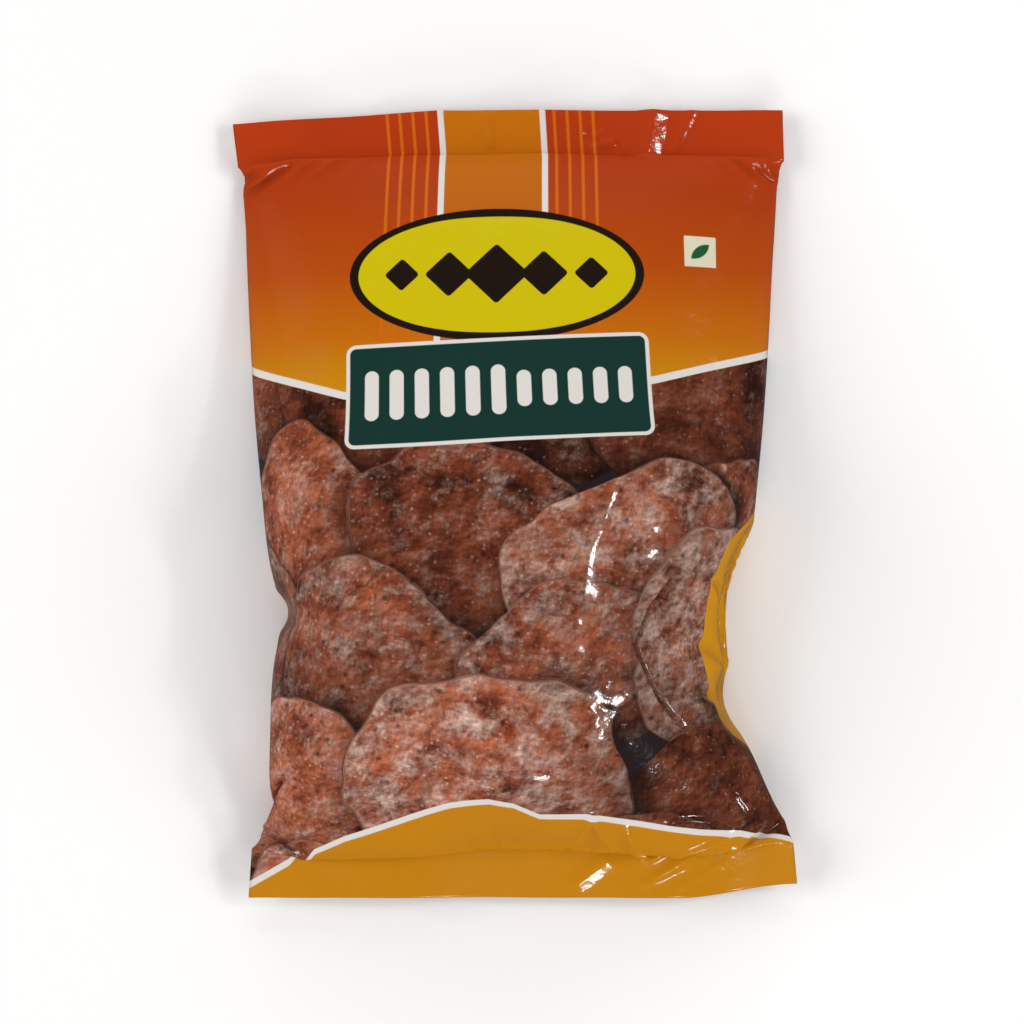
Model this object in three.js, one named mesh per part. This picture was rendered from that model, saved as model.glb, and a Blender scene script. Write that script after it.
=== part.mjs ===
// A pillow pack of round jaggery lumps, lying on its back.
// One tube of printed film is closed by a flat heat seal at each end. The lapped seam down its back
// is only a few tenths of a millimetre thick, so the back is drawn plain.
// Millimetres: X runs across the pack, Y along it towards the top seal and Z up.
// The origin is on the floor, under the middle of the pack's outline.
import * as THREE from "three";
import { mergeVertices } from "three/addons/utils/BufferGeometryUtils.js";

// ---- driving dimensions -------------------------------------------------------------------
const packLength = 237; // bottom edge to top edge as it lies
const endY = packLength / 2;
const sealHeight = 12; // height of each flat heat-sealed band
const sealThickness = 0.6; // two layers of film, fused
const roundRise = 12; // the section is fully round where the front rises this far over its edges
const layRise = 5; // and the back reaches the floor where it rises this far
const pressReach = 1.6; // how near the side edges the lumps still press the front out

// The edge of the pack from above, as [y, x] from the bottom edge to the top edge.
const leftEdge = [
  [-118.5, -79.6],
  [-113, -81.1],
  [-100, -77.2],
  [-90, -73.6],
  [-78, -74.4],
  [-64, -74.2],
  [-49, -72.9],
  [-36, -69.4],
  [-20, -73.6],
  [-5, -75.9],
  [15, -77.7],
  [35, -79.2],
  [60, -80.7],
  [90, -82.4],
  [112, -85.2],
  [118.5, -85.5],
];
const rightEdge = [
  [-118.5, 84.2],
  [-113, 85.1],
  [-104, 82.4],
  [-90, 76.2],
  [-76, 68.6],
  [-65, 64.4],
  [-50, 63.6],
  [-36, 63.2],
  [-20, 66],
  [-5, 71],
  [15, 73.4],
  [35, 75.2],
  [60, 76.8],
  [95, 79.2],
  [105, 80.5],
  [118.5, 80.2],
];

// How the pack lies, as [y, mm]: height of its side edges over the floor, and of the middle of its
// front. The lumps weigh the back down flat on the floor.
const edgeHeight = [
  [-118.5, 7.6],
  [-112, 10],
  [-106.5, 11.5],
  [-98, 6],
  [-80, 5],
  [-60, 3],
  [-36, 2],
  [-15, 3.5],
  [10, 5.5],
  [40, 4],
  [75, 2],
  [98, 2],
  [103, 4],
  [106.5, 5.8],
  [118.5, 4.5],
];
const frontHeight = [
  [-118.5, 7.6],
  [-112, 10],
  [-106.5, 11.5],
  [-104.5, 17.5],
  [-102, 21.5],
  [-98, 27.5],
  [-88, 38],
  [-70, 45.3],
  [-50, 48.3],
  [-32, 51.2],
  [-10, 48],
  [15, 41.5],
  [40, 35],
  [60, 29.5],
  [80, 23.3],
  [98, 15.3],
  [102, 12.8],
  [104.5, 10],
  [106.5, 5.8],
  [118.5, 4.5],
];
// Power of the front's section (1 - x^2)^power: low where the lumps fill the sides out.
const leftPower = [
  [-104, 0.42],
  [-80, 0.4],
  [-60, 0.38],
  [-36, 0.3],
  [-20, 0.36],
  [0, 0.31],
  [20, 0.4],
  [50, 0.5],
  [104, 0.54],
];
const rightPower = [
  [-104, 0.55],
  [-80, 0.56],
  [-66, 0.46],
  [-50, 0.44],
  [-30, 0.42],
  [-5, 0.37],
  [20, 0.44],
  [50, 0.51],
  [104, 0.5],
];
const backPower = 0.16; // the back is flat nearly out to its edges

// Jaggery lumps that press the front out: centre, radius and how far each one pushes.
const lumps = [
  { x: 2, y: -68, radius: 32, push: 6 },
  { x: -42, y: -70, radius: 25, push: 2 },
  { x: 4, y: -37, radius: 30, push: 9 },
  { x: -38, y: -38, radius: 24, push: 4 },
  { x: -54, y: -36, radius: 20, push: 4 },
  { x: 34, y: -12, radius: 22, push: 5 },
  { x: -50, y: 4, radius: 20, push: 2 },
  { x: -2, y: 2, radius: 27, push: 3 },
  { x: 4, y: 44, radius: 26, push: 1.5 },
];

// Folds where the film sinks between lumps and in from the sides: from, to, half width and depth.
const folds = [
  { from: [-70, -33], to: [-44, -35], width: 4, depth: 2 },
  { from: [52, -68], to: [32, -41], width: 4, depth: 3 },
  { from: [32, -41], to: [55, -9], width: 4, depth: 3 },
];

const foldFade = 0.75; // share of its depth that a fold loses by its far end

// Two corners are bent: x where each bend starts and ends, and how far it moves the end's edge.
const turnUp = { from: 50, to: 85, shift: 4.2 };
const dropDown = { from: -24, to: -85, shift: 4.2 };

// The pack is drawn as a grid of cells on its front and its back.
const sealRows = 3;
const bodyRows = 54;
const columns = 34;

// ---- helpers ------------------------------------------------------------------------------
// A curve through [y, value] pairs that never swings past them (monotone cubic).
function through(points) {
  const slopes = points.slice(1).map(([y, v], i) => (v - points[i][1]) / (y - points[i][0]));
  const tangents = points.map((point, i) => {
    const before = slopes[i - 1] ?? slopes[i];
    const after = slopes[i] ?? slopes[i - 1];
    return before * after <= 0 ? 0 : (2 * before * after) / (before + after);
  });
  return (y) => {
    let i = 0;
    while (i < points.length - 2 && y > points[i + 1][0]) i++;
    const [y0, v0] = points[i];
    const [y1, v1] = points[i + 1];
    const step = y1 - y0;
    const t = THREE.MathUtils.clamp((y - y0) / step, 0, 1);
    const a = (1 + 2 * t) * (1 - t) ** 2;
    const b = t * (1 - t) ** 2;
    const c = t * t * (3 - 2 * t);
    const d = t * t * (t - 1);
    return a * v0 + b * step * tangents[i] + c * v1 + d * step * tangents[i + 1];
  };
}

const leftAt = through(leftEdge);
const rightAt = through(rightEdge);
const edgeHeightAt = through(edgeHeight);
const frontHeightAt = through(frontHeight);
const leftPowerAt = through(leftPower);
const rightPowerAt = through(rightPower);

// How far the lumps push the front out at a place on the pack.
function lumpPush(x, y) {
  return lumps.reduce((sum, lump) => {
    const away = Math.hypot(x - lump.x, y - lump.y) / lump.radius;
    return sum + (away < 1 ? lump.push * (1 - away * away) ** 1.5 : 0);
  }, 0);
}

// How deep the folds sink at a place on the pack. Each is deepest where it starts.
function foldDepth(x, y) {
  return folds.reduce((sum, fold) => {
    const [ax, ay] = fold.from;
    const [bx, by] = fold.to;
    const length2 = (bx - ax) ** 2 + (by - ay) ** 2;
    const along = THREE.MathUtils.clamp(((x - ax) * (bx - ax) + (y - ay) * (by - ay)) / length2, 0, 1);
    const away = Math.hypot(x - ax - along * (bx - ax), y - ay - along * (by - ay));
    return sum + fold.depth * (1 - foldFade * along) * Math.exp(-((away / fold.width) ** 2));
  }, 0);
}

// The bottom edge turns up at its right corner and the top edge drops towards its left corner.
function endShift(x, y) {
  const nearBottom = THREE.MathUtils.smoothstep(-y, endY - 2 * sealHeight, endY);
  const nearTop = THREE.MathUtils.smoothstep(y, endY - 2 * sealHeight, endY);
  const up = turnUp.shift * THREE.MathUtils.smoothstep(x, turnUp.from, turnUp.to);
  const down = dropDown.shift * THREE.MathUtils.clamp((x - dropDown.from) / (dropDown.to - dropDown.from), 0, 1);
  return up * nearBottom - down * nearTop;
}

// Where a point of the film lies. across runs from -1 at the left edge to 1 at the right edge,
// and side is 1 on the front and -1 on the back.
function filmPoint(across, y, side) {
  const left = leftAt(y);
  const right = rightAt(y);
  const edge = edgeHeightAt(y);
  const rise = frontHeightAt(y) - edge;
  const round = Math.sin((across * Math.PI) / 2);
  const full = THREE.MathUtils.clamp(rise / roundRise, 0, 1);
  const spread = THREE.MathUtils.lerp(across, round, full);
  const x = (left + right) / 2 + (spread * (right - left)) / 2;
  const inside = Math.max(0, 1 - spread * spread);
  let z;
  if (side > 0) {
    const toRight = THREE.MathUtils.smoothstep(across, -0.3, 0.3);
    const section = inside ** THREE.MathUtils.lerp(leftPowerAt(y), rightPowerAt(y), toRight);
    const inner = Math.min(1, section * pressReach) * full;
    z = edge + rise * section + inner * (lumpPush(x, y) - foldDepth(x, y)) + sealThickness / 2;
  } else {
    const drop = Math.min(1, rise / layRise) * (edge + sealThickness) * inside ** backPower;
    z = Math.max(0, edge - drop - sealThickness / 2);
  }
  return new THREE.Vector3(x, y + endShift(x, y), z);
}

// ---- the pack -----------------------------------------------------------------------------
// y of each row of cells, with a row on each line where a seal meets the body.
function rowHeights() {
  const sealLine = endY - sealHeight;
  const heights = [];
  for (let i = 0; i <= sealRows; i++) heights.push(-endY + (sealHeight * i) / sealRows);
  for (let i = 1; i < bodyRows; i++) heights.push(-sealLine + (2 * sealLine * i) / bodyRows);
  for (let i = 0; i <= sealRows; i++) heights.push(sealLine + (sealHeight * i) / sealRows);
  return heights;
}

// A box of cells with its front and back faces drawn out to the film.
function packGeometry() {
  const heights = rowHeights();
  const rows = heights.length - 1;
  const box = new THREE.BoxGeometry(2, rows, 2, columns, rows, 1);
  box.deleteAttribute("normal");
  box.deleteAttribute("uv");
  const place = box.getAttribute("position");
  for (let i = 0; i < place.count; i++) {
    const y = heights[Math.round(place.getY(i) + rows / 2)];
    const point = filmPoint(place.getX(i), y, Math.sign(place.getZ(i)));
    place.setXYZ(i, point.x, point.y, point.z);
  }
  return mergeVertices(box, 1e-4);
}

function pack() {
  const film = new THREE.MeshStandardMaterial({ color: 0xb8621e, roughness: 0.28, metalness: 0 });
  const mesh = new THREE.Mesh(packGeometry(), film);
  mesh.name = "sealed_pack";
  return mesh;
}

const model = new THREE.Group();
model.add(pack());
export default model;
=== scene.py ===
from math import cos, pi, radians, sin, tau

import bpy
import numpy as np
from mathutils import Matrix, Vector


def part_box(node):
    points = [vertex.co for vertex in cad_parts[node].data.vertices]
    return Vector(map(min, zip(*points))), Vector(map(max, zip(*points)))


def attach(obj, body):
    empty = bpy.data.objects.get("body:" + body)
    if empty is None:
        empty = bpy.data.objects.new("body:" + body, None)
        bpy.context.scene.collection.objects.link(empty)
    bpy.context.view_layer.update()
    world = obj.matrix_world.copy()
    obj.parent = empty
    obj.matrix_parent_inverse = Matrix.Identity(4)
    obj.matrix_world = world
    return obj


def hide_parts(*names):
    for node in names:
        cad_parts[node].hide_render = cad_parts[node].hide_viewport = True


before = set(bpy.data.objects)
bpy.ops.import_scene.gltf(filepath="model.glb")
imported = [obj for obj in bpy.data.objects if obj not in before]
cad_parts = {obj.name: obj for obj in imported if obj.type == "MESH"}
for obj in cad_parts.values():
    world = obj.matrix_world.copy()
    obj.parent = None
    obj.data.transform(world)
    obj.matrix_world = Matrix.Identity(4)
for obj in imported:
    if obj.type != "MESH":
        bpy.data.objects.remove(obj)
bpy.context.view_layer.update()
packLow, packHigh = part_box("sealed_pack")
mm = 0.001
packLength = (packHigh.y - packLow.y) / mm
print("frame loaded, pack", round(packLength, 1), "mm long")


def linear(hexColour):
    channels = [int(hexColour[i:i + 2], 16) / 255 for i in (1, 3, 5)]
    return [c / 12.92 if c <= 0.04045 else ((c + 0.055) / 1.055) ** 2.4 for c in channels] + [1.0]


def addNode(tree, kind, inputs=(), out=0, stops=(), curve=(), **settings):
    # inputs by number or name, stops for a colour ramp, curve for a float curve
    made = tree.nodes.new("ShaderNode" + kind)
    for name, value in settings.items():
        setattr(made, name, value)
    pairs = inputs.items() if isinstance(inputs, dict) else enumerate(inputs)
    for socket, value in pairs:
        if isinstance(value, bpy.types.NodeSocket):
            tree.links.new(value, made.inputs[socket])
        elif value is not None:
            made.inputs[socket].default_value = value
    for i, (place, colour) in enumerate(stops):
        ramp = made.color_ramp.elements
        stop = ramp[i] if i < len(ramp) else ramp.new(place)
        stop.position, stop.color = place, linear(colour)
    for i, point in enumerate(curve):
        points = made.mapping.curves[0].points
        knot = points[i] if i < len(points) else points.new(*point)
        knot.location, knot.handle_type = point, "VECTOR"
    return made.outputs[out] if len(made.outputs) else made


def newMaterial(name):
    material = bpy.data.materials.new(name)
    material.use_nodes = True
    material.node_tree.nodes.clear()
    return material, material.node_tree


def smoothStep(x, low, high):
    t = np.clip((x - low) / (high - low), 0, 1)
    return t * t * (3 - 2 * t)


# a tube of printed film, drawn tight over the lumps that fill it
film = dict(
    flatWidth=165.0,  # tube pressed flat, mm
    betweenSeals=230.0,  # film from one seal line to the other, mm
    sealDepth=14.5,  # heat-sealed band at each end
    sealThickness=0.6,  # both layers fused
    columns=40,  # cells over the front before refining
    rows=56,
    sealRows=14,  # rows of cells over each seal
    refineSteps=(300, 300, 300),  # relaxing steps, with the grid halved between them
    stretch=1.0,  # how stiffly the film resists being stretched, 0 to 1
    squeeze=0.6,  # and being shortened
    shear=0.5,
    bend=0.12,
    sideEase=0.12,  # share of its length that the film at the sides gives up near the seals
    easeBetween=(0.45, 0.8),  # from the middle, 0, to a seal, 1
    air=0.01,  # mm a step, outwards
    weight=0.01,  # mm a step, downwards
    damping=0.9,
    rub=0.3,  # share of its speed that the film loses where it rubs on a lump
    give=0.5,  # share of the way out of a press that the film moves at each step
    nearLump=8.0,  # mm round a lump that can come to touch it
    floor=0.55,  # the back rides on its lapped seam, so it stays this far up
)

# the loosely filled tube that the relaxing starts from, in mm
slackTube = dict(
    narrowed=14.0,  # each side drawn in at mid length
    toLeft=3.0,
    edgeHeight=(6, 16, -5),  # at the seals, added at mid length, and added towards the top
    frontRise=(33, -8),  # at mid length, and added towards the top
    backDrop=26.0,
)

# jaggery lumps inside: middle x, y, z, half sizes, and turn about Z in degrees
lumps = [
    (-44, -68, 21, 25, 22, 19, 10),
    (1, -66, 26, 32, 26, 25, -8),
    (34, -71, 18, 17, 18, 14, 0),
    (-36, -36, 29, 25, 24, 25, 0),
    (4, -37, 32, 30, 26, 28, 0),
    (33, -10, 27, 22, 18, 22, 0),
    (-48, 0, 22, 24, 22, 20, 0),
    (-2, 4, 25, 28, 23, 22, 0),
    (41, 2, 21, 24, 23, 19, 0),
    (-44, 42, 15, 26, 22, 13, 0),
    (4, 44, 16, 26, 22, 14, 0),
    (44, 40, 14, 24, 22, 12, 0),
    (-28, 76, 9, 30, 18, 6, 0),
    (26, 74, 9, 30, 18, 6, 0),
]

# where handling has pressed the film in: middle, half sizes and turn about Z in degrees
presses = [
    (-88, -33, 24, 22, 13, 45, 0),
    (110, -36, 22, 50, 52, 60, 0),
    (86, -57, 25, 27, 22, 50, 0),
    (70, -36, 60, 27, 24, 30, 0),
]

# corners of the sealed ends, on the seal line and at the cut edge
seals = {
    -1: dict(left=(-79.3, -80.6), right=(82.9, 84.4), height=(12.5, 7.0)),
    1: dict(left=(-83.9, -85.5), right=(80.5, 80.2), height=(6.0, 4.5)),
}
# the bottom's right corner bends up and the top's left corner drops, between these x
bentCorners = dict(shift=4.2, up=(50, 85), drop=(-24, -85))
# waves along a seal: height on the seal line and added at the cut edge, lengths, share of the short wave
sealWave = dict(height=(0.5, 0.7), long=13, short=6.1, shortShare=0.6, sidesFlat=0.15)
sealLine = packLength / 2 - film["sealDepth"]


def sealPoint(across, end, outward, side):
    # across -1 to 1, end -1 bottom or 1 top, outward 0 on the seal line to 1 at the cut edge
    corner = seals[end]
    left, right, z = (a + (b - a) * outward for a, b in (corner["left"], corner["right"], corner["height"]))
    x = (left + right) / 2 + across * (right - left) / 2
    y = end * (sealLine + film["sealDepth"] * outward) + 0 * x
    shift = bentCorners["shift"] * smoothStep(outward, -1, 1)
    if end < 0:
        y = y + shift * smoothStep(x, *bentCorners["up"])
    else:
        first, last = bentCorners["drop"]
        y = y - shift * np.clip((first - x) / (first - last), 0, 1)
    low, more = sealWave["height"]
    short = sealWave["shortShare"] * np.sin(x / sealWave["short"] + 0.4)
    wave = (low + more * outward) * (np.sin(x / sealWave["long"] + 1.3 * end) + short)
    z = z + wave * smoothStep(1 - np.abs(across), 0, sealWave["sidesFlat"])
    z = z + side * film["sealThickness"] / 2
    return np.stack([x + 0 * z, y + 0 * z, z], -1)


def startingTube():
    # between the two seal lines, front from left to right, then the back
    rows, columns = film["rows"], film["columns"]
    along = np.linspace(-1, 1, rows + 1)[:, None]
    across = np.linspace(-1, 1, columns + 1)[None, :]
    full = 1 - np.abs(along) ** 3
    spread = across + (np.sin(across * pi / 2) - across) * full
    halfWidth = film["flatWidth"] / 2 - slackTube["narrowed"] * full
    section = np.sqrt(np.maximum(0, 1 - spread ** 2)) * full
    atSeals, atMiddle, towardsTop = slackTube["edgeHeight"]
    edge = atSeals + atMiddle * full + towardsTop * along * full
    rise, riseTowardsTop = slackTube["frontRise"]
    x = spread * halfWidth - slackTube["toLeft"]
    y = along * sealLine + 0 * x
    front = np.stack([x, y, edge + (rise + riseTowardsTop * along) * section], -1)
    back = np.stack([x, y, np.maximum(film["floor"], edge - slackTube["backDrop"] * section)], -1)
    for row, end in ((0, -1), (-1, 1)):
        front[row] = sealPoint(across[0], end, 0.0, 1)
        back[row] = sealPoint(across[0], end, 0.0, -1)
    tube = np.concatenate([front, back[:, -2:0:-1]], 1)
    return tube.astype(np.float32)


def pull(a, b, rest, whenLong, whenShort):
    # half the move that brings each pair of points to its rest distance
    apart = b - a
    distance = np.sqrt((apart * apart).sum(-1, keepdims=True)) + 1e-9
    excess = (distance - rest) / distance
    share = np.where(excess > 0, whenLong, whenShort).astype(np.float32)
    return apart * (excess * share * 0.5)


def holdLengths(tube, aroundRest, alongRest):
    # alongRest is one length for each cell
    rows, around = tube.shape[0] - 1, tube.shape[1]
    index = np.arange(around)
    for first in (index[0::2], index[1::2]):
        second = (first + 1) % around
        move = pull(tube[:, first], tube[:, second], aroundRest, film["stretch"], film["squeeze"])
        tube[:, first] += move
        tube[:, second] -= move
    for start in (0, 1):
        upper = tube[start + 1::2]
        lower = tube[start:-1:2][:len(upper)]
        rest = alongRest[start::2][:len(upper)]
        move = pull(lower, upper, rest, film["stretch"], film["squeeze"])
        lower += move
        upper -= move
        diagonal = np.hypot(aroundRest, rest)
        for turn in (1, -1):
            across = np.roll(upper, -turn, 1)
            move = pull(lower, across, diagonal, film["shear"], film["shear"] * film["squeeze"])
            lower += move
            upper -= np.roll(move, turn, 1)
    for first in (index[index % 4 < 2], index[index % 4 >= 2]):
        second = (first + 2) % around
        move = pull(tube[:, first], tube[:, second], 2 * aroundRest, 0.0, film["bend"])
        tube[:, first] += move
        tube[:, second] -= move
    line = np.arange(rows - 1)
    for first in (line[line % 4 < 2], line[line % 4 >= 2]):
        rest = alongRest[first] + alongRest[first + 1]
        move = pull(tube[first], tube[first + 2], rest, 0.0, film["bend"])
        tube[first] += move
        tube[first + 2] -= move


def turned(points, degrees):
    # about Z
    c, s = np.float32(cos(radians(degrees))), np.float32(sin(radians(degrees)))
    x, y, z = points[:, 0], points[:, 1], points[:, 2]
    return np.stack([x * c - y * s, x * s + y * c, z], -1)


def insideOf(points, middle, half, turn):
    # which points are in an ellipsoid, where they are along its own axes, and their depth: 0 middle, 1 skin
    local = turned(points - np.array(middle, np.float32), -turn)
    depth = np.sqrt(((local / np.array(half, np.float32)) ** 2).sum(-1))
    inside = depth < 1
    return inside, local[inside], np.maximum(depth[inside], 0.05)[:, None]


def outsideLumps(points, before, nearby):
    for (x, y, z, rx, ry, rz, turn), near in zip(lumps, nearby):
        inside, local, depth = insideOf(points[near], (x, y, z), (rx, ry, rz), turn)
        touched = near[inside]
        points[touched] = turned(local / depth, turn) + np.array((x, y, z), np.float32)
        before[touched] += (points[touched] - before[touched]) * np.float32(film["rub"])


def outsidePresses(points):
    for x, y, z, rx, ry, rz, turn in presses:
        inside, local, depth = insideOf(points, (x, y, z), (rx, ry, rz), turn)
        points[inside] += turned(local * (1 / depth - 1) * np.float32(film["give"]), turn)


def relaxFilm(tube, steps, fineness):
    rows, around = tube.shape[0] - 1, tube.shape[1]
    columns = around // 2
    aroundRest = 2 * film["flatWidth"] / around
    sideways = abs(np.cos(np.arange(around) * tau / around))[None, :, None] ** 4
    endways = smoothStep(abs(np.linspace(-1, 1, rows)), *film["easeBetween"])[:, None, None]
    alongRest = film["betweenSeals"] / rows * (1 - film["sideEase"] * sideways * endways)
    alongRest = alongRest.astype(np.float32)
    air, weight = np.float32(film["air"] / fineness), np.float32(film["weight"] / fineness)
    before = tube.copy()
    bottomLine, topLine = tube[0].copy(), tube[-1].copy()
    flat = tube.reshape(-1, 3)
    nearby = []
    for x, y, z, rx, ry, rz, turn in lumps:
        reach = max(rx, ry) + film["nearLump"]
        nearby.append(np.where((abs(flat[:, 0] - x) < reach) & (abs(flat[:, 1] - y) < reach))[0])
    for step in range(steps):
        speed = (tube - before) * np.float32(film["damping"])
        before = tube.copy()
        tube = tube + speed
        tube[..., 2] -= weight
        aroundWay = np.roll(tube, -1, 1) - np.roll(tube, 1, 1)
        alongWay = np.gradient(tube, axis=0)
        outward = np.cross(aroundWay, alongWay)
        tube += outward / (np.sqrt((outward * outward).sum(-1, keepdims=True)) + 1e-9) * air
        holdLengths(tube, aroundRest, alongRest)
        if step % 2 == 0 or step == steps - 1:
            outsideLumps(tube.reshape(-1, 3), before.reshape(-1, 3), nearby)
            outsidePresses(tube.reshape(-1, 3))
            tube[..., 2] = np.maximum(tube[..., 2], film["floor"])
            front, back = tube[:, 1:columns], tube[:, :columns:-1]
            gap = front[..., 2] - back[..., 2]
            lift = (np.maximum(0, film["sealThickness"] - gap) / 2).astype(np.float32)
            front[..., 2] += lift
            back[..., 2] -= lift
        tube[0], tube[-1] = bottomLine, topLine
    return tube


def refine(tube):
    # halves the cells with a four-point rule
    middle = (9 * (tube + np.roll(tube, -1, 1)) - (np.roll(tube, 1, 1) + np.roll(tube, -2, 1))) / 16
    wide = np.empty((tube.shape[0], tube.shape[1] * 2, 3), np.float32)
    wide[:, 0::2], wide[:, 1::2] = tube, middle
    padded = np.concatenate([2 * wide[:1] - wide[1:2], wide, 2 * wide[-1:] - wide[-2:-1]], 0)
    middle = (9 * (padded[1:-2] + padded[2:-1]) - (padded[:-3] + padded[3:])) / 16
    tall = np.empty((wide.shape[0] * 2 - 1, wide.shape[1], 3), np.float32)
    tall[0::2], tall[1::2] = wide, middle
    return tall


def settleFilm():
    tube = startingTube()
    for level, steps in enumerate(film["refineSteps"]):
        if level:
            tube = refine(tube)
        tube = relaxFilm(tube, steps, 2 ** level)
        print("film settled at", tube.shape[1], "points around")
    return tube


def sealBand(columns, end, rows):
    across = np.linspace(-1, 1, columns + 1)
    made = []
    for k in range(1, rows + 1):
        front = sealPoint(across, end, k / rows, 1)
        back = sealPoint(across, end, k / rows, -1)
        edge = (front + back) / 2
        front[0], front[-1] = edge[0], edge[-1]
        made.append(np.concatenate([front, back[-2:0:-1]]))
    return np.array(made, np.float32)


def wholeFilm():
    # body and both seals as one grid, with the place of each row along the flat film
    tube = settleFilm()
    columns = tube.shape[1] // 2
    rows = film["sealRows"]
    bottom, top = sealBand(columns, -1, rows), sealBand(columns, 1, rows)
    grid = np.concatenate([bottom[::-1], tube, top])
    half = film["betweenSeals"] / 2
    seal = film["sealDepth"] * np.arange(1, rows + 1) / rows
    along = np.concatenate([(-half - seal)[::-1], np.linspace(-half, half, tube.shape[0]), half + seal])
    return grid, along


# cells of the finished film, finer where it has small creases: place on the film in mm, and the number
# of cells up to there
cells = dict(
    across=((-82.5, 0), (8, 88), (82.5, 200)),
    along=((-129.5, 0), (-20, 164), (15, 212), (104, 282), (129.5, 324)),
)

# sharp creases: path on the flat film, height out of the film (minus goes in), half width, and the share
# of its length over which a crease dies away at its far end; flat creases have flat flanks
creases = [
    dict(path=[(30, 13.5), (26.5, 3), (24, -4), (20.5, -12.5), (19, -21), (18.5, -30)],
         height=0.9, halfWidth=1.7, tail=0.5),
    dict(path=[(60, -100), (51, -97), (42, -95.6)], height=0.8, halfWidth=1.2),
    dict(path=[(66, -90), (70.6, -100)], height=0.8, halfWidth=1.2),
    dict(path=[(14, -127), (28, -116)], height=0.8, halfWidth=3.5, flat=True),
    dict(path=[(33, -127), (57, -115.5)], height=0.40, halfWidth=2.1, flat=True),
    dict(path=[(44, -128), (64, -118)], height=0.27, halfWidth=1.4, flat=True),
    dict(path=[(14, -112), (21, -92), (27.5, -108), (14, -112)], height=0.9, halfWidth=1.3),
    dict(path=[(30.5, -95), (34, -107), (37, -121)], height=1.0, halfWidth=1.2),
    dict(path=[(36, -120), (50, -110), (67, -104)], height=0.9, halfWidth=1.2),
    dict(path=[(38, -124), (50, -117), (60, -110)], height=0.8, halfWidth=1.2),
    dict(path=[(46.5, 114), (50.5, 120), (57, 132)], height=0.8, halfWidth=1.6),
    dict(path=[(40, 111), (44.5, 133)], height=2.3, halfWidth=5.2, flat=True),
    dict(path=[(-6, 117), (-6.5, 130)], height=1.0, halfWidth=1.3),
]

# where the film laps over itself: path with the lower film on its left, depth of the slot beside the lip,
# height of the lip, how far it is pushed across, and how far the film on both sides takes part
laps = [
    dict(path=[(56, -8), (46, -17.5), (37.3, -28.5), (33, -39.4), (36, -47.6), (40, -56), (46, -64),
               (54, -71)],
         depth=4.2, lip=0.5, across=(1.7, 0, 0), reach=14),
]
# mm past the lip to the slot's floor and to its far side, and the share of its depth left from there on
slot = dict(floor=1.2, width=3.7, left=0.3)

# soft swells where a knob of a lump lies under the film: middle, reach and height
swells = [
    ((30.5, 10), (22.5, 11.5), 2.0),
    ((24.5, -14), (13.5, 9), 1.0),
    ((19.5, -36.5), (6, 13.5), 0.9),
    ((24, -67), (7.5, 11), 1.1),
    ((33.5, -52.5), (7.5, 8), 1.25),
]

# spots where the film is crumpled by many short creases: middle, reach, number, height, half width
crumples = [
    ((28, -56), (4, 8), 9, 0.24, 1.7),
    ((25, 120), (3, 3), 3, 1.0, 1.3),
    ((44, 122), (5, 6), 9, 0.22, 1.4),
]
crumpleLength = (5, 11)


def toPath(u, v, path):
    # distance to a path, with its sign on the right of it, and how far along the nearest point is
    nearest = np.full(u.shape, 1e6)
    signed, share = np.zeros(u.shape), np.zeros(u.shape)
    lengths = [np.hypot(b[0] - a[0], b[1] - a[1]) for a, b in zip(path, path[1:])]
    done = 0.0
    for (a, b), length in zip(zip(path, path[1:]), lengths):
        wayU, wayV = (b[0] - a[0]) / length, (b[1] - a[1]) / length
        offU, offV = u - a[0], v - a[1]
        t = np.clip(offU * wayU + offV * wayV, 0, length)
        distance = np.hypot(offU - t * wayU, offV - t * wayV)
        closer = distance < nearest
        nearest = np.where(closer, distance, nearest)
        signed = np.where(closer, np.copysign(distance, offU * wayV - offV * wayU), signed)
        share = np.where(closer, (done + t) / sum(lengths), share)
        done += length
    return signed, share


def creaseMove(u, v, outward, path, height, halfWidth, tail=0.2, flat=False):
    distance, share = toPath(u, v, path)
    fade = smoothStep(share, 0, 0.2) * smoothStep(1 - share, 0, tail)
    flank = abs(distance) / halfWidth
    section = np.clip(1 - flank, 0, 1) if flat else np.exp(-flank ** 2)
    return outward * (height * fade * section)[..., None]


def lapMove(u, v, outward, path, depth, lip, across, reach):
    # past is how far a point lies from the lip, on the lower film
    distance, share = toPath(u, v, path)
    past = -distance
    fade = smoothStep(share, 0, 0.25) * smoothStep(1 - share, 0, 0.25)
    sunk = 1 - (1 - slot["left"]) * smoothStep(past, slot["floor"], slot["width"])
    sunk = smoothStep(past, 0, slot["floor"]) * sunk * (1 - smoothStep(past, slot["width"], reach))
    raised = lip * (1 - smoothStep(abs(past), 0, np.where(past > 0, slot["floor"], reach / 2)))
    pushed = np.where(past > 0, np.exp(-(past / slot["floor"]) ** 2), 1 - smoothStep(-past, 0, reach))
    across = np.array(across) - outward * (outward * np.array(across)).sum(-1, keepdims=True)
    return outward * (fade * (raised - depth * sunk))[..., None] + across * (fade * pushed)[..., None]


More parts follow.
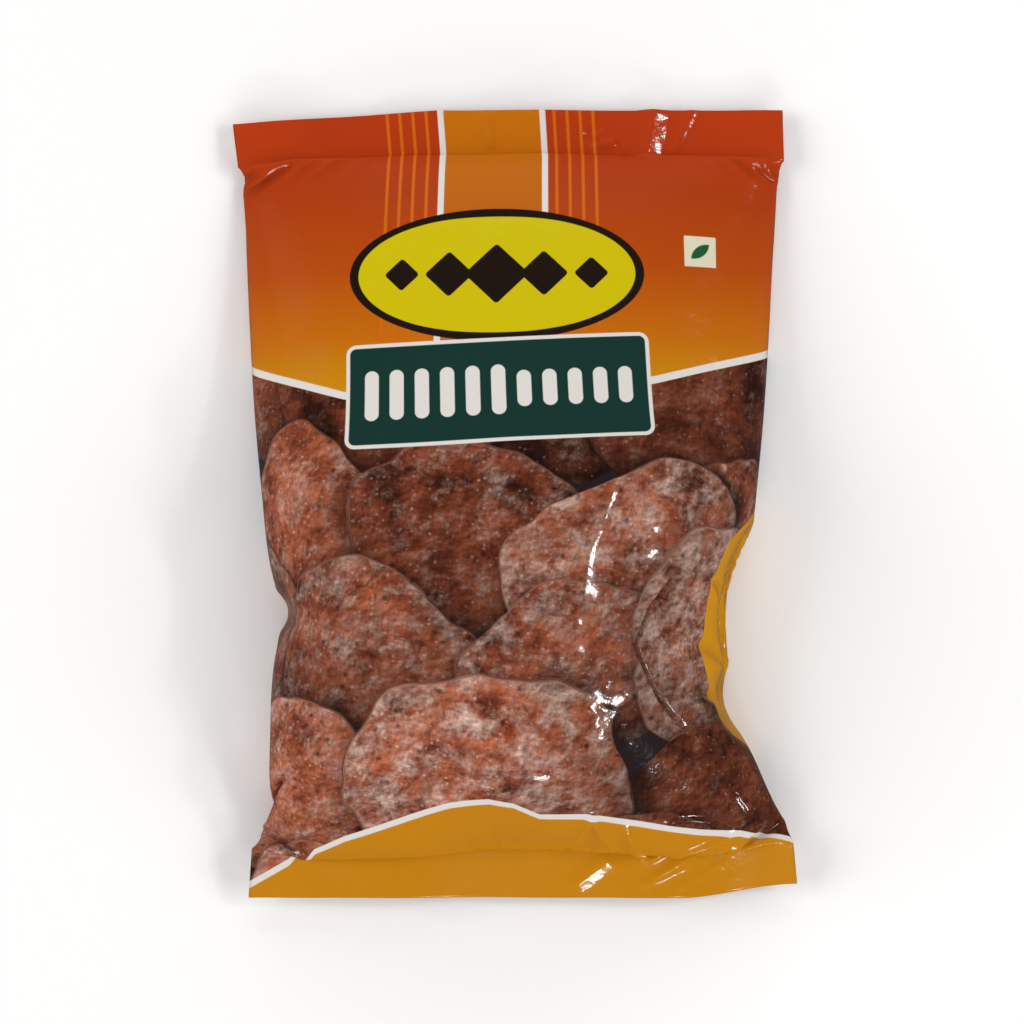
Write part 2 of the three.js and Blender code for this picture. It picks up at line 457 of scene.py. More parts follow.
def pressedMove(u, v, outward):
    move = sum(creaseMove(u, v, outward, **crease) for crease in creases)
    move = move + sum(lapMove(u, v, outward, **lap) for lap in laps)
    for (middleU, middleV), (reachU, reachV), height in swells:
        bulge = height * np.exp(-((u - middleU) / reachU) ** 2 - ((v - middleV) / reachV) ** 2)
        move = move + outward * bulge[..., None]
    chance = np.random.default_rng(11)
    for (middleU, middleV), (reachU, reachV), number, height, halfWidth in crumples:
        for k in range(number):
            startU = middleU + chance.uniform(-reachU, reachU)
            startV = middleV + chance.uniform(-reachV, reachV)
            way = chance.uniform(0, tau)
            length = chance.uniform(*crumpleLength)
            path = [(startU, startV), (startU + length * cos(way), startV + length * sin(way))]
            move = move + creaseMove(u, v, outward, path, height * chance.uniform(-1, 1), halfWidth)
    return move


def atPlaces(grid, places, wrap):
    # smooth values between the rows of a grid
    first = np.floor(places).astype(int)
    t = (places - first)[:, None, None]
    near = [first + k for k in (-1, 0, 1, 2)]
    near = [n % len(grid) if wrap else np.clip(n, 0, len(grid) - 1) for n in near]
    a, b, c, d = (grid[n] for n in near)
    return b + 0.5 * t * (c - a + t * (2 * a - 5 * b + 4 * c - d + t * (3 * (b - c) + d - a)))


def spreadOut(marks):
    places, counts = zip(*marks)
    return np.interp(np.arange(counts[-1] + 1), counts, places)


def finishedFilm():
    grid, along = wholeFilm()
    front = spreadOut(cells["across"])
    across = np.concatenate([front, film["flatWidth"] - front[-3::-2]])  # coarser on the back
    newAlong = spreadOut(cells["along"])
    columns = (across[:-1] + film["flatWidth"] / 2) / (2 * film["flatWidth"]) * grid.shape[1]
    grid = atPlaces(grid, np.interp(newAlong, along, np.arange(len(along))), False)
    grid = atPlaces(grid.transpose(1, 0, 2), columns, True).transpose(1, 0, 2)
    u, v = np.meshgrid(across[:-1], newAlong)
    outward = np.cross(np.roll(grid, -1, 1) - np.roll(grid, 1, 1), np.gradient(grid, axis=0))
    outward /= np.sqrt((outward ** 2).sum(-1, keepdims=True)) + 1e-9
    # a crease in a seal shows on its back too
    onBack = u > film["flatWidth"] / 2
    inSeal = smoothStep(abs(v), film["betweenSeals"] / 2 - 2, film["betweenSeals"] / 2)
    frontward = np.where(onBack[..., None], -outward, outward)
    move = pressedMove(np.where(onBack, film["flatWidth"] - u, u), v, frontward)
    return grid + move * np.where(onBack, inSeal, 1)[..., None], newAlong, across


filmGrid, filmAlong, filmAcross = finishedFilm()


def meshPiece(name, points, faces, flatPlaces, bakePlaces=None):
    # flatPlaces: millimetres on the flat film at each face corner; OFBake is the same laid out in 0 to 1
    mesh = bpy.data.meshes.new(name)
    mesh.from_pydata((points * mm).tolist(), [], faces)
    mesh.polygons.foreach_set("use_smooth", [True] * len(mesh.polygons))
    bakePlaces = flatPlaces if bakePlaces is None else bakePlaces
    low = bakePlaces.min(0)
    span = (bakePlaces.max(0) - low).max()
    for mapName, places in (("filmFlat", flatPlaces), ("OFBake", (bakePlaces - low) / span * 0.98 + 0.01)):
        layer = mesh.uv_layers.new(name=mapName)
        layer.data.foreach_set("uv", places.astype(np.float32).ravel())
    piece = bpy.data.objects.new(name, mesh)
    bpy.context.scene.collection.objects.link(piece)
    return piece


def filmMesh(name, grid, along, across):
    # the front has twice as many columns as the back
    rows, ring = grid.shape[0], grid.shape[1]
    frontCells = ring * 2 // 3
    r = np.arange(rows - 1)[:, None]
    c = np.arange(ring)[None, :]
    nextC = (c + 1) % ring
    faces = np.stack([r * ring + c, r * ring + nextC, (r + 1) * ring + nextC, (r + 1) * ring + c], -1)
    faceList = faces.reshape(-1, 4).tolist()
    cornerAcross = np.stack([c, c + 1, c + 1, c], -1) + 0 * r[..., None]
    cornerAlong = np.stack([r, r, r + 1, r + 1], -1) + 0 * c[..., None]
    places = np.stack([across[cornerAcross.ravel()], along[cornerAlong.ravel()]], -1)
    ends = []
    for row in (0, rows - 1):  # thin faces close the two cut ends
        for j in range(0, frontCells, 2):
            behind = frontCells + (frontCells - j) // 2
            corner = list(dict.fromkeys([j, j + 1, j + 2, behind - 1, behind % ring]))
            faceList.append([row * ring + k for k in (corner if row else corner[::-1])])
            ends += [(across[j], along[row])] * len(corner)
    return meshPiece(name, grid.reshape(-1, 3), faceList, np.concatenate([places, np.array(ends)]))


filmPiece = filmMesh("packFilm", filmGrid, filmAlong, filmAcross)
print("film mesh", len(filmPiece.data.polygons), "faces")

# the lapped seam down the back, a flat strip sealed onto the tube
backSeam = dict(
    width=12.0,
    thickness=0.4,
    sunk=0.1,  # into the film under it
    overFloor=0.05,
    endGap=1.5,  # from the cut ends
)


def seamMesh(name):
    middle = film["flatWidth"]
    halfCell = 0.6  # half of a column on the back
    columns = np.where(abs(filmAcross[:-1] - middle) <= backSeam["width"] / 2 + halfCell)[0]
    rows = np.where(abs(filmAlong) < filmAlong.max() - backSeam["endGap"])[0]
    strip = filmGrid[rows][:, columns]
    outward = np.cross(np.gradient(strip, axis=1), np.gradient(strip, axis=0))
    outward /= np.sqrt((outward ** 2).sum(-1, keepdims=True))
    under = strip + outward * backSeam["thickness"]
    under[..., 2] = np.maximum(under[..., 2], backSeam["overFloor"])
    upper = strip - outward * backSeam["sunk"]
    high, wide = len(rows), len(columns)
    layer = high * wide
    faces = []
    for r in range(high - 1):
        for c in range(wide - 1):
            a = r * wide + c
            cell = [a, a + 1, a + wide + 1, a + wide]
            faces += [cell, [layer + k for k in cell[::-1]]]
    rim = list(range(wide)) + [r * wide + wide - 1 for r in range(1, high)]
    rim += [(high - 1) * wide + c for c in range(wide - 2, -1, -1)]
    rim += [r * wide for r in range(high - 2, 0, -1)]
    faces += [[rim[k - 1], layer + rim[k - 1], layer + rim[k], rim[k]] for k in range(len(rim))]
    u, v = np.meshgrid(filmAcross[columns], filmAlong[rows])
    flat = np.tile(np.stack([u, v], -1).reshape(-1, 2), (2, 1))
    corner = np.array([k for face in faces for k in face])
    beside = np.stack([(corner >= layer) * (backSeam["width"] + 4), 0 * corner], -1)
    points = np.concatenate([under.reshape(-1, 3), upper.reshape(-1, 3)])
    return meshPiece(name, points, faces, flat[corner], flat[corner] + beside)


seamPiece = seamMesh("backSeam")
print("back seam", len(seamPiece.data.polygons), "faces")

ink = dict(
    softness=0.12,  # mm, half of a printed edge
    redTop="#B5380F",
    redBody="#AB3B0D",
    redFoot="#B44A0A",
    amberTop="#C26A08",
    amber="#C98A08",
    amberFoot="#C4800C",
    ribbonTop="#C36E06",
    ribbonMiddle="#B85C08",
    ribbonFoot="#B8603A",
    white="#DED8D2",
    cream="#DDD6B8",
    fineLine="#CF6410",
    badgeYellow="#CDBB08",
    badgeBrown="#1E130C",
    panelGreen="#15352F",
    markGreen="#1F5A34",
)

# places on the flat film in mm: across from the middle of the front, along from the middle of the body
layout = dict(
    ends=(-130.0, 130.0),
    ribbonMiddle=-5.0,
    ribbonHalf=15.3,
    stripeWidth=1.8,
    fineLines=(-36.3, -32.5, -28.6, -24.6, 13.8, 17.7, 21.6, 25.5),
    fineLineWidth=0.9,
    badgeMiddle=(-3.7, 71.0),
    badgeHalf=(42.5, 20.5),
    badgeRim=2.6,
    diamondHalves=(3.6, 5.0, 6.6, 5.0, 3.6),
    diamondStep=13.6,
    diamondCorner=1.0,
    panelMiddle=(-2.8, 36.0),
    panelHalf=(43.0, 15.5),
    panelCorner=3.0,
    panelTurn=2.2,  # degrees
    panelRim=1.1,
    firstBar=(-35.5, -1.3),  # from the panel's middle
    barStep=(7.1, 0.27),
    barHalfWidth=2.0,
    barHalfHeights=(7.4,) * 6 + (5.4,) * 5,
    markMiddle=(55.8, 78.5),
    markHalf=4.9,
    markCorner=0.3,
    leafTurn=40.0,
    leafOff=3.4,  # a leaf is where two rounds meet: how far off their middles are
    leafRadius=5.0,
    keylineWidth=2.3,
)
topKeyline = [(-85, 46.2), (-46.5, 35.1), (-3, 30.0), (41.8, 38.9), (85, 50.0)]
bottomKeyline = [(-85, -127), (-70.5, -118.2), (-62, -105.5), (-52, -99.7), (-40.7, -95.5), (-19.4, -87.5),
                 (-8, -84.9), (-1, -86), (6, -91), (20, -91.6), (35, -95.5), (53, -101.5), (66, -105.2),
                 (85, -115)]
# the picture's right border, as (along, across)
rightBorder = [(-130, 92), (-84, 88), (-66, 69), (-45, 61), (-22, 62), (-8, 70), (2, 84), (14, 98),
               (130, 98)]
artEnds = (-94.0, 97.0)  # the art runs on round both edges
flatHalf = film["flatWidth"] / 2

# two clear BOPP films with the ink between them: the cast and stretched outer one gives light and dark
# inks one even, hard gloss
material, tree = newMaterial("glossy printed BOPP laminate")
# the back's far half is counted from the left edge, so that the art runs on round both edges
roundFilm = addNode(tree, "SeparateXYZ", [addNode(tree, "UVMap", uv_map="filmFlat")])
alongFilm = roundFilm.node.outputs[1]
pastBack = addNode(tree, "Math", [roundFilm, 2.5 * flatHalf], operation="GREATER_THAN")
acrossFilm = addNode(tree, "Math", [pastBack, -4 * flatHalf, roundFilm], operation="MULTIPLY_ADD")
flatPlace = addNode(tree, "CombineXYZ", [acrossFilm, alongFilm, 0.0])


def overprint(below, colour, distance, edge=0.0):
    # lays an ink where the distance in mm is under the edge
    soft = ink["softness"]
    mask = addNode(tree, "MapRange", [distance, edge - soft, edge + soft, 1.0, 0.0])
    colour = linear(colour) if isinstance(colour, str) else colour
    return addNode(tree, "Mix", {0: mask, 6: below, 7: colour}, out=2, data_type="RGBA")


def boxDistance(middle, turn, half, corner):
    # signed distance in mm to a turned rectangle with round corners
    aboutZ = (0, 0, radians(turn))
    place = addNode(tree, "Mapping", [flatPlace, (*middle, 0), aboutZ], vector_type="TEXTURE")
    bare = addNode(tree, "VectorMath", [place], operation="ABSOLUTE")
    inner = (half[0] - corner, half[1] - corner, 0)
    past = addNode(tree, "VectorMath", [bare, inner], operation="SUBTRACT")
    past = addNode(tree, "VectorMath", [past, (0, 0, 0)], operation="MAXIMUM")
    past = addNode(tree, "VectorMath", [past], out=1, operation="LENGTH")
    return addNode(tree, "Math", [past, corner], operation="SUBTRACT")


def curveOver(value, points):
    # a drawn line as a function of one coordinate, scaled both ways to 0..1 between the film's ends
    low, high = layout["ends"]
    scaled = addNode(tree, "MapRange", [value, low, high, 0.0, 1.0])
    knots = [((x - low) / (high - low), (y - low) / (high - low)) for x, y in points]
    bent = addNode(tree, "FloatCurve", {1: scaled}, curve=knots)
    return addNode(tree, "MapRange", [bent, 0.0, 1.0, low, high])


# background: red at the top running to amber, with a ribbon that runs the other way
runDown = addNode(tree, "MapRange", [alongFilm, *layout["ends"], 0.0, 1.0])
printed = addNode(tree, "ValToRGB", [runDown], stops=[
    (0.0, ink["amberFoot"]), (0.64, ink["amber"]), (0.70, ink["amberTop"]), (0.78, ink["redFoot"]),
    (0.88, ink["redBody"]), (1.0, ink["redTop"])])
ribbon = addNode(tree, "ValToRGB", [runDown], stops=[
    (0.0, ink["ribbonFoot"]), (0.68, ink["ribbonFoot"]), (0.80, ink["ribbonMiddle"]),
    (1.0, ink["ribbonTop"])])
bands = [(layout["ribbonMiddle"], layout["ribbonHalf"], ribbon)]
bands += [(across, layout["fineLineWidth"] / 2, ink["fineLine"]) for across in layout["fineLines"]]
for side in (-1, 1):
    edge = layout["ribbonMiddle"] + side * layout["ribbonHalf"]
    bands.append((edge, layout["stripeWidth"] / 2, ink["white"]))
for middle, halfWidth, colour in bands:
    away = addNode(tree, "Math", [acrossFilm, middle], operation="SUBTRACT")
    away = addNode(tree, "Math", [away], operation="ABSOLUTE")
    printed = overprint(printed, colour, away, halfWidth)

# the picture of jaggery lumps, drawn from the back: middle, half sizes, turn, bloom (0 bare to 1 pale),
# how brightly it is lit and how orange its crust is (0 dark brown to 1)
pictured = [
    ((-76, 42), (21, 22), 10, 0.32, 0.80, 0.7),
    ((-40, 28), (29, 26), -12, 0.26, 0.66, 0.3),
    ((8, 32), (34, 25), 8, 0.30, 0.62, 0.2),
    ((56, 28), (34, 29), -8, 0.27, 0.56, 0.5),
    ((-60, -4), (27, 31), 18, 0.33, 1.02, 0.7),
    ((70, -8), (28, 27), 12, 0.34, 0.80, 0.4),
    ((-12, -6), (34, 27), -12, 0.33, 0.76, 0.3),
    ((34, -13), (38, 24), 20, 0.42, 0.98, 0.5),
    ((-84, -40), (25, 33), 0, 0.40, 0.95, 0.6),
    ((-42, -40), (33, 27), -18, 0.38, 0.86, 0.5),
    ((18, -46), (36, 26), 10, 0.38, 0.90, 0.5),
    # this lump is placed so that its dark rim, and the shadow it lays in print on the lumps behind it, run
    # along the lap: printed picture, and also painted shade that deepens the fold beside the real slot
    ((67, -40), (34, 37), -6, 0.48, 0.90, 0.3),
    ((-70, -88), (33, 37), 12, 0.34, 1.16, 0.9),
    ((66, -96), (37, 31), -12, 0.26, 0.52, 0.6),
    ((-8, -80), (42, 36), 8, 0.42, 1.10, 0.5),
    ((30, -114), (36, 23), -6, 0.30, 0.60, 0.5),
    ((-52, -120), (33, 21), 10, 0.38, 1.00, 0.7),
]
# what the lumps look like in print; sizes in mm on the film
jaggeryPrint = dict(
    gap="#231A1C",
    deep="#431D12",
    rust="#823F27",
    orange="#A2573A",
    rose="#A9705F",
    bloom="#A17866",
    bloomPale="#C3A79A",
    spark="#D8BEB0",
    outlineWander=(26.0, 9.0),  # size and depth of the dents in the outlines
    patchSize=14.0,  # rust against orange
    dentSize=11.0,
    bloomSize=8.0,  # sugary bloom
    crumbSize=2.8,  # crystals, printed larger than life like the lumps
    sparkSize=1.6,
    pitSize=5.0,
    lightFrom=(-0.30, 0.52, 0),  # against the slope of the lump
    lightAbove=0.62,  # against its height
    darkest=0.42,  # on the side away from the light
    shadow=(0.92, 1.20, 0.26),  # on what is behind: from and to, with the lump's skin at 1, and how dark
    shadowShift=(-0.06, 0.07, 0),
    rimDark=0.80,  # at the outline
    rimDust=0.10,  # bloom gathered at the outline
    hueShift=0.10,  # how far a lump's own tone moves its crust from brown to orange
    bloomFrom=0.78,
    bloomFull=1.14,
    bloomCover=0.92,
    sparkCover=0.38,
    sparkShare=0.28,  # of the crystals
    contrast=1.25,
    relief=0.32,  # light gained or lost on the sides of the crumbs
    reliefWay=(-0.45, 0.7, 0),  # mm, towards the light
    speckle=0.12,  # and from crystal to crystal
    dented=(0.80, 1.16),
    pitDark=0.45,
)


def picturedLump():
    # one lump over the lumps behind it: brightness, bloom and texture offset travel as a vector
    group = bpy.data.node_groups.new("printed lump", "ShaderNodeTree")
    for name in ("Place", "Behind", "Middle", "Turn", "Size", "Look"):
        group.interface.new_socket(name, in_out="INPUT", socket_type="NodeSocketVector")
    group.interface.new_socket("Picture", in_out="OUTPUT", socket_type="NodeSocketVector")
    given = group.nodes.new("NodeGroupInput").outputs
    local = addNode(group, "Mapping", [given["Place"], given["Middle"], given["Turn"], given["Size"]],
                    vector_type="TEXTURE")
    radius = addNode(group, "VectorMath", [local], out=1, operation="LENGTH")
    covered = addNode(group, "MapRange", [radius, 0.975, 1.0, 1.0, 0.0])
    beside = addNode(group, "VectorMath", [local, jaggeryPrint["shadowShift"]], operation="ADD")
    beside = addNode(group, "VectorMath", [beside], out=1, operation="LENGTH")
    shadow = addNode(group, "MapRange", [beside, *jaggeryPrint["shadow"], 1.0],
                     interpolation_type="SMOOTHSTEP")
    square = addNode(group, "Math", [radius, radius], operation="MULTIPLY")
    height = addNode(group, "Math", [1.0, square], operation="SUBTRACT", use_clamp=True)
    height = addNode(group, "Math", [height], operation="SQRT")
    facing = addNode(group, "VectorMath", [local, jaggeryPrint["lightFrom"]], out=1,
                     operation="DOT_PRODUCT")
    facing = addNode(group, "Math", [height, jaggeryPrint["lightAbove"], facing], operation="MULTIPLY_ADD")
    lit = addNode(group, "MapRange", [facing, -0.35, 0.75, jaggeryPrint["darkest"], 1.0])
    rim = addNode(group, "MapRange", [height, 0.0, 0.30, jaggeryPrint["rimDark"], 1.0])
    lit = addNode(group, "Math", [lit, rim], operation="MULTIPLY")
    look = addNode(group, "SeparateXYZ", [given["Look"]])
    lit = addNode(group, "Math", [lit, look.node.outputs[2]], operation="MULTIPLY")
    dusty = addNode(group, "MapRange", [height, 0.0, 0.60, jaggeryPrint["rimDust"], 0.0])
    dusty = addNode(group, "Math", [look, dusty], operation="ADD")
    own = addNode(group, "CombineXYZ", [lit, dusty, look.node.outputs[1]])
    dim = addNode(group, "CombineXYZ", [shadow, 1.0, 1.0])
    behind = addNode(group, "VectorMath", [given["Behind"], dim], operation="MULTIPLY")
    merged = addNode(group, "Mix", {0: covered, 4: behind, 5: own}, out=1, data_type="VECTOR")
    group.links.new(merged, group.nodes.new("NodeGroupOutput").inputs[0])
    return group


wanderSize, wanderDepth = jaggeryPrint["outlineWander"]
wander = addNode(tree, "TexNoise", {"Vector": flatPlace, "Scale": 1 / wanderSize, "Detail": 1.5}, out=1)
wander = addNode(tree, "VectorMath", [wander, (0.5, 0.5, 0.5)], operation="SUBTRACT")
wander = addNode(tree, "VectorMath", [wander, (2 * wanderDepth, 2 * wanderDepth, 0)], operation="MULTIPLY")
unevenPlace = addNode(tree, "VectorMath", [flatPlace, wander], operation="ADD")
lumpNodes = picturedLump()
picture = addNode(tree, "CombineXYZ", [0.0, 0.1, 0.0])
lumpStep, orangeStep = 40, 30  # the place of a lump's offset within its step says how orange its crust is
for i, (middle, half, turn, bloom, tone, orange) in enumerate(pictured):
    look = (bloom, lumpStep * i + orangeStep * orange, tone)
    lump = [unevenPlace, picture, (*middle, 0), (0, 0, radians(turn)), (*half, 1), look]
    picture = addNode(tree, "Group", lump, node_tree=lumpNodes)
bright = addNode(tree, "SeparateXYZ", [picture])
bloomShare, offset = bright.node.outputs[1], bright.node.outputs[2]
ownPlace = addNode(tree, "CombineXYZ", [0.0, 0.0, offset])
ownPlace = addNode(tree, "VectorMath", [flatPlace, ownPlace], operation="ADD")

patches = addNode(tree, "TexNoise", {
    "Vector": ownPlace, "Scale": 1 / jaggeryPrint["patchSize"], "Detail": 6.0, "Roughness": 0.65})
bloomNoise = addNode(tree, "TexNoise", {
    "Vector": ownPlace, "Scale": 1 / jaggeryPrint["bloomSize"], "Detail": 6.0, "Roughness": 0.7,
    "Distortion": 0.3})
dents = addNode(tree, "TexNoise", {
    "Vector": ownPlace, "Scale": 1 / jaggeryPrint["dentSize"], "Detail": 2.0})
crumbs = {"Scale": 1 / jaggeryPrint["crumbSize"], "Detail": 3.0, "Roughness": 0.6}
crumb = addNode(tree, "TexNoise", {"Vector": ownPlace, **crumbs})
lightward = addNode(tree, "VectorMath", [ownPlace, jaggeryPrint["reliefWay"]], operation="ADD")
crumbPast = addNode(tree, "TexNoise", {"Vector": lightward, **crumbs})
crystals = addNode(tree, "TexVoronoi", {"Vector": ownPlace, "Scale": 2 / jaggeryPrint["crumbSize"]}, out=1)
crystals = addNode(tree, "SeparateXYZ", [crystals])
pits = addNode(tree, "TexVoronoi", {"Vector": unevenPlace, "Scale": 1 / jaggeryPrint["pitSize"]})
spark = addNode(tree, "TexVoronoi", {"Vector": ownPlace, "Scale": 1 / jaggeryPrint["sparkSize"]})
sparkOn = addNode(tree, "SeparateXYZ", [spark.node.outputs[1]])

hue = addNode(tree, "Math", [offset, float(lumpStep)], operation="MODULO")
hueShift = jaggeryPrint["hueShift"]
hue = addNode(tree, "MapRange", [hue, 0.0, float(orangeStep), -hueShift, hueShift])
hue = addNode(tree, "Math", [patches, hue], operation="ADD")
crust = addNode(tree, "ValToRGB", [hue], stops=[
    (0.34, jaggeryPrint["deep"]), (0.47, jaggeryPrint["rust"]), (0.58, jaggeryPrint["orange"]),
    (0.70, jaggeryPrint["rose"])])
bloomMask = addNode(tree, "Math", [bloomNoise, bloomShare], operation="ADD")
crumbTop = addNode(tree, "Math", [crumb, 0.5], operation="SUBTRACT")
bloomMask = addNode(tree, "Math", [crumbTop, 0.30, bloomMask], operation="MULTIPLY_ADD")
bloomMask = addNode(tree, "MapRange", [
    bloomMask, jaggeryPrint["bloomFrom"], jaggeryPrint["bloomFull"], 0.0, jaggeryPrint["bloomCover"]],
    interpolation_type="SMOOTHSTEP")
bloomInk = addNode(tree, "ValToRGB", [bloomNoise], stops=[
    (0.42, jaggeryPrint["bloom"]), (0.72, jaggeryPrint["bloomPale"])])
crust = addNode(tree, "Mix", {0: bloomMask, 6: crust, 7: bloomInk}, out=2, data_type="RGBA")
sparkOn = addNode(tree, "Math", [sparkOn, 1 - jaggeryPrint["sparkShare"]], operation="GREATER_THAN")
spark = addNode(tree, "MapRange", [spark, 0.12, 0.34, jaggeryPrint["sparkCover"], 0.0])
spark = addNode(tree, "Math", [spark, sparkOn], operation="MULTIPLY")
sparkInk = linear(jaggeryPrint["spark"])
crust = addNode(tree, "Mix", {0: spark, 6: crust, 7: sparkInk}, out=2, data_type="RGBA")

# how dark each place is: the lump's shading, then its crumbs, crystals, pits and dents
shaded = addNode(tree, "Math", [bright, jaggeryPrint["contrast"]], operation="POWER")
relief = addNode(tree, "Math", [crumb, crumbPast], operation="SUBTRACT")
swing = jaggeryPrint["relief"]
relief = addNode(tree, "MapRange", [relief, -0.16, 0.16, 1 - swing, 1 + swing])
swing = jaggeryPrint["speckle"]
speckle = addNode(tree, "MapRange", [crystals.node.outputs[1], 0.0, 1.0, 1 - swing, 1 + swing])
pitted = addNode(tree, "MapRange", [pits, 0.08, 0.22, jaggeryPrint["pitDark"], 1.0])
dented = addNode(tree, "MapRange", [dents, 0.30, 0.70, *jaggeryPrint["dented"]])
for detail in (relief, speckle, pitted, dented):
    shaded = addNode(tree, "Math", [shaded, detail], operation="MULTIPLY")
picture = addNode(tree, "VectorMath", {0: crust, "Scale": shaded}, operation="SCALE")
inGap = addNode(tree, "MapRange", [shaded, 0.0, 0.12, 1.0, 0.0])
gapInk = linear(jaggeryPrint["gap"])
picture = addNode(tree, "Mix", {0: inGap, 6: picture, 7: gapInk}, out=2, data_type="RGBA")

# the picture lies between the two keylines and ends at the right border: distances in mm, minus inside
topLine = curveOver(acrossFilm, topKeyline)
bottomLine = curveOver(acrossFilm, bottomKeyline)
border = curveOver(alongFilm, rightBorder)
overTop = addNode(tree, "Math", [alongFilm, topLine], operation="SUBTRACT")
overBottom = addNode(tree, "Math", [alongFilm, bottomLine], operation="SUBTRACT")
underBottom = addNode(tree, "Math", [bottomLine, alongFilm], operation="SUBTRACT")
fromPicture = addNode(tree, "Math", [overTop, underBottom], operation="MAXIMUM")
pastLeftEnd = addNode(tree, "Math", [artEnds[0], acrossFilm], operation="SUBTRACT")
pastRightEnd = addNode(tree, "Math", [acrossFilm, artEnds[1]], operation="SUBTRACT")
pastEnds = addNode(tree, "Math", [pastLeftEnd, pastRightEnd], operation="MAXIMUM")
pastBorder = addNode(tree, "Math", [acrossFilm, border], operation="SUBTRACT")
halfKeyline = layout["keylineWidth"] / 2
offKeylines = addNode(tree, "Math", [fromPicture, halfKeyline], operation="SUBTRACT")
offKeylines = addNode(tree, "Math", [offKeylines, pastEnds], operation="MAXIMUM")
offPicture = addNode(tree, "Math", [fromPicture, halfKeyline], operation="ADD")
offPicture = addNode(tree, "Math", [offPicture, pastEnds], operation="MAXIMUM")
offPicture = addNode(tree, "Math", [offPicture, pastBorder], operation="MAXIMUM")
printed = overprint(printed, ink["amber"], overTop)
printed = overprint(printed, ink["amberFoot"], overBottom)
printed = overprint(printed, ink["white"], offKeylines)
printed = overprint(printed, ink["amber"], fromPicture, -halfKeyline)
printed = overprint(printed, picture, offPicture)

# badge: an oval field with a row of plain diamonds
badgeX, badgeY = layout["badgeMiddle"]
badgePlace = addNode(tree, "VectorMath", [flatPlace, (badgeX, badgeY, 0)], operation="SUBTRACT")
badgeReach = addNode(tree, "VectorMath", [badgePlace], out=1, operation="LENGTH")
badgePlace = addNode(tree, "VectorMath", [badgePlace, (*layout["badgeHalf"], 1)], operation="DIVIDE")
badgeRound = addNode(tree, "VectorMath", [badgePlace], out=1, operation="LENGTH")
badgeEdge = addNode(tree, "Math", [badgeReach, badgeRound], operation="DIVIDE")
pastBadge = addNode(tree, "Math", [badgeRound, 1.0], operation="SUBTRACT")
badgeEdge = addNode(tree, "Math", [badgeEdge, pastBadge], operation="MULTIPLY")
printed = overprint(printed, ink["badgeBrown"], badgeEdge)
printed = overprint(printed, ink["badgeYellow"], badgeEdge, -layout["badgeRim"])
for k, half in enumerate(layout["diamondHalves"]):
    middle = (badgeX + (k - 2) * layout["diamondStep"], badgeY)
    diamond = boxDistance(middle, 45, (half, half), layout["diamondCorner"])
    printed = overprint(printed, ink["badgeBrown"], diamond)

# panel: green with a pale rim and a row of plain bars
panelX, panelY = layout["panelMiddle"]
panelEdge = boxDistance((panelX, panelY), layout["panelTurn"], layout["panelHalf"], layout["panelCorner"])
printed = overprint(printed, ink["white"], panelEdge)
printed = overprint(printed, ink["panelGreen"], panelEdge, -layout["panelRim"])
firstX, firstY = layout["firstBar"]
stepX, stepY = layout["barStep"]
barHalf = layout["barHalfWidth"]
for k, halfHeight in enumerate(layout["barHalfHeights"]):
    middle = (panelX + firstX + stepX * k, panelY + firstY + stepY * k)
    bar = boxDistance(middle, layout["panelTurn"], (barHalf, halfHeight), barHalf)
    printed = overprint(printed, ink["white"], bar)

# small green leaf on a cream square
markHalf = layout["markHalf"]
markEdge = boxDistance(layout["markMiddle"], 0, (markHalf, markHalf), layout["markCorner"])
printed = overprint(printed, ink["cream"], markEdge)
leafMiddle = (*layout["markMiddle"], 0)
leafTurn = (0, 0, radians(layout["leafTurn"]))
leafPlace = addNode(tree, "Mapping", [flatPlace, leafMiddle, leafTurn], vector_type="TEXTURE")
leafSides = [addNode(tree, "VectorMath", [leafPlace, (0, off, 0)], out=1, operation="DISTANCE")
             for off in (-layout["leafOff"], layout["leafOff"])]
leafEdge = addNode(tree, "Math", leafSides, operation="MAXIMUM")
printed = overprint(printed, ink["markGreen"], leafEdge, layout["leafRadius"])

# drawing the film over lumps leaves faint crinkles in it; their size is in mm and their height in metres
gloss = dict(roughness=0.12, ior=1.49, crinkleSize=11.11, crinkleHeight=0.0012, crinkleStrength=0.35)
crinkle = addNode(tree, "TexNoise", {
    "Vector": flatPlace, "Scale": 1 / gloss["crinkleSize"], "Detail": 4.0, "Roughness": 0.55})
crinkled = addNode(tree, "Bump", {
    "Strength": gloss["crinkleStrength"], "Distance": gloss["crinkleHeight"], "Height": crinkle})
shader = addNode(tree, "BsdfPrincipled", {
    "Base Color": printed, "Roughness": gloss["roughness"], "IOR": gloss["ior"], "Normal": crinkled})
addNode(tree, "OutputMaterial", [shader])
for piece in (filmPiece, seamPiece):
    piece.data.materials.append(material)
    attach(piece, "root")
    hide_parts("sealed_pack")
print("print laid out,", len(tree.nodes), "nodes")

studio = dict(
    floorHalf=2.0,  # metres
    paper="#FBFAF9",
    paperRoughness=0.9,
    air="#F2F5F8",  # light that the room scatters
    airStrength=0.08,
    aim=(0, 0, 0.03),  # of every light
)

floorMesh = bpy.data.meshes.new("floor")
far = studio["floorHalf"]
floorMesh.from_pydata([(-far, -far, 0), (far, -far, 0), (far, far, 0), (-far, far, 0)], [], [(0, 1, 2, 3)])
floor = bpy.data.objects.new("floor", floorMesh)
bpy.context.scene.collection.objects.link(floor)
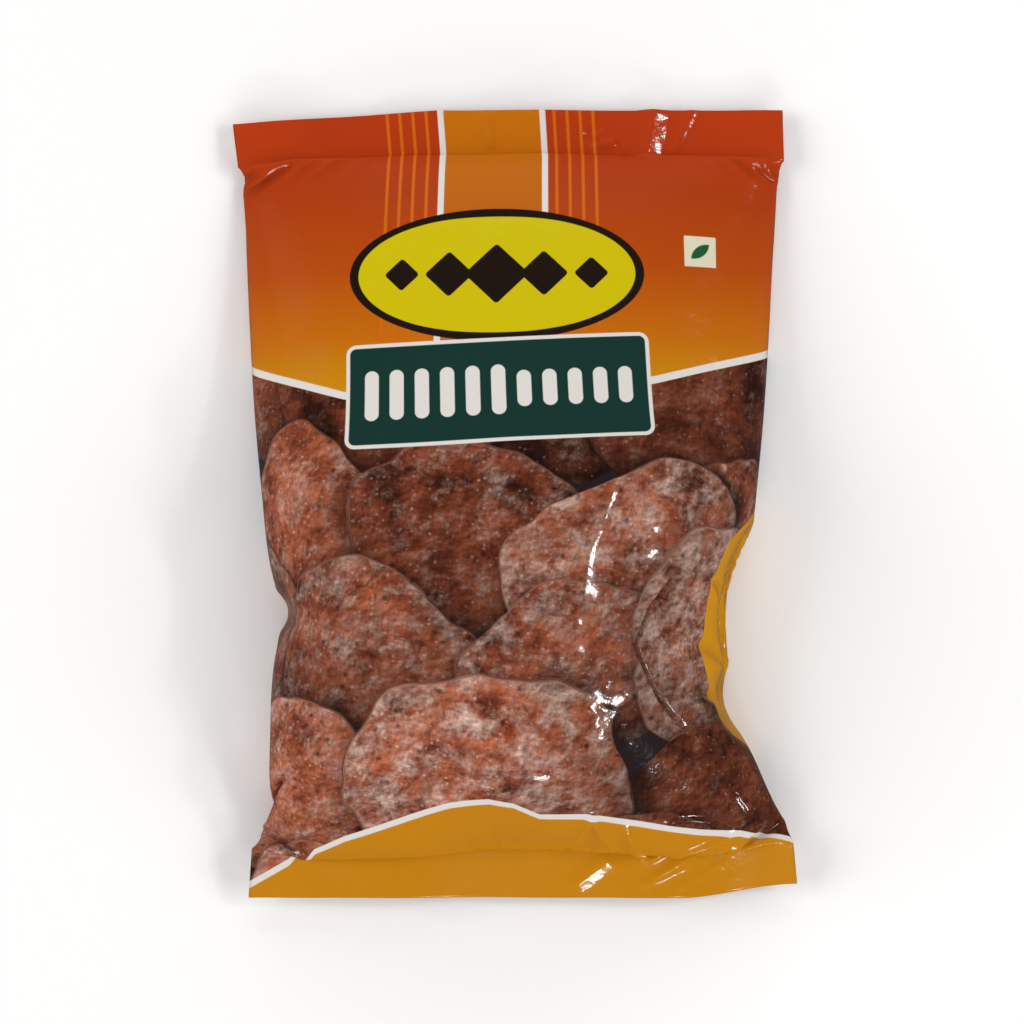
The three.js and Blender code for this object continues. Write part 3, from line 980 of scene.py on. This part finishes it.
# uncoated paper: its fibres scatter the light evenly
floorPaper, tree = newMaterial("matt white paper")
shader = addNode(tree, "BsdfPrincipled", {
    "Base Color": linear(studio["paper"]), "Roughness": studio["paperRoughness"]})
addNode(tree, "OutputMaterial", [shader])
floorMesh.materials.append(floorPaper)
floor.visible_glossy = False  # dark flags round the pack keep the floor's white out of the gloss

world = bpy.data.worlds.new("studio")
bpy.context.scene.world = world
world.use_nodes = True
world.node_tree.nodes["Background"].inputs["Color"].default_value = linear(studio["air"])
world.node_tree.nodes["Background"].inputs["Strength"].default_value = studio["airStrength"]


def softLight(name, place, size, power, mirrored=True):
    # the fill boxes stand behind diffusing cloth and leave no picture of themselves in the gloss
    lamp = bpy.data.lights.new(name, "AREA")
    lamp.shape = "RECTANGLE"
    lamp.size, lamp.size_y = size
    lamp.energy = power
    made = bpy.data.objects.new(name, lamp)
    made.location = place
    made.rotation_euler = (Vector(studio["aim"]) - Vector(place)).to_track_quat("-Z", "Y").to_euler()
    made.visible_glossy = mirrored
    bpy.context.scene.collection.objects.link(made)


# three small lights put the bright lines on the creases, and four soft boxes fill
softLight("stripRight", (1.1, 0.30, 1.03), (0.16, 0.08), 2.4)
softLight("lampRight", (1.04, -0.71, 0.92), (0.12, 0.11), 2.2)
softLight("stripFoot", (0.38, -1.42, 0.64), (0.2, 0.08), 2.4)
softLight("softboxRight", (1.3, -0.1, 1.0), (0.9, 0.9), 10.6, False)
softLight("softboxLeft", (-1.5, 0.2, 0.9), (1.2, 1.2), 22, False)
softLight("softboxTop", (0.1, 1.7, 0.7), (1.2, 1.2), 15, False)
softLight("softboxFoot", (-0.1, -1.7, 0.8), (1.2, 1.2), 13, False)

# straight down, with the whole pack in the frame
view = dict(distance=1.2, aimHeight=0.01, frameWidth=0.3072, middle=(-0.00135, -0.00255), sensor=36)
lens = bpy.data.cameras.new("camera")
lens.sensor_width = view["sensor"]
lens.lens = view["sensor"] * view["distance"] / view["frameWidth"]
camera = bpy.data.objects.new("camera", lens)
camera.location = (*view["middle"], view["aimHeight"] + view["distance"])
bpy.context.scene.collection.objects.link(camera)
bpy.context.scene.camera = camera
bpy.context.scene.view_settings.view_transform = "Standard"
print("floor, lights and camera placed")
